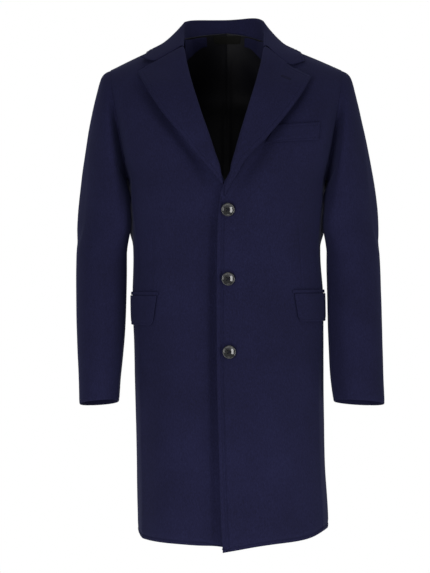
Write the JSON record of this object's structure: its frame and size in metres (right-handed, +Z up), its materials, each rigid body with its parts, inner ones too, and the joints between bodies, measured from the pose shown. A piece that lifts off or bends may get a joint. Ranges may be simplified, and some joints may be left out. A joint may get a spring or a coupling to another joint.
{
  "type": "wool overcoat",
  "caption": "Long wool overcoat with notched lapels, buttoned front, flapped pockets and open neck, cuffs and hem, as worn.",
  "frame": {"origin": "middle of the neck opening at the height where the coat rests on the wearer's shoulders", "axes": "+Z up along the coat, +X towards the wearer's left side, -Y towards the front"},
  "size_m": [0.5873, 0.31, 1.005],
  "materials": {
    "navy_wool": "milled wool cloth, very dark navy, soft short nap, 2.4 mm thick",
    "dark_lining": "smooth satin lining, nearly black navy",
    "label_tape": "woven tape, nearly black olive, bare",
    "dark_horn": "polished dark horn or resin, dished, four holes"
  },
  "bodies": {
    "root": {"front_left": "navy_wool", "front_right": "navy_wool", "side_left": "navy_wool", "side_right": "navy_wool", "back_left": "navy_wool", "back_right": "navy_wool", "sleeve_top_left": "navy_wool", "sleeve_top_right": "navy_wool", "sleeve_under_left": "navy_wool", "sleeve_under_right": "navy_wool", "lapel_left": "navy_wool", "lapel_right": "navy_wool", "collar_leaf": "navy_wool", "collar_stand": "navy_wool", "chest_welt": "navy_wool", "pocket_flap_left": "navy_wool", "pocket_flap_right": "navy_wool", "pocket_jet_left": "navy_wool", "pocket_jet_right": "navy_wool", "neck_facing_left": "navy_wool", "neck_facing_right": "navy_wool", "lining_left": "dark_lining", "lining_right": "dark_lining", "neck_label": "label_tape", "button_1": "dark_horn", "button_2": "dark_horn", "button_3": "dark_horn"}
  },
  "joints": []
}
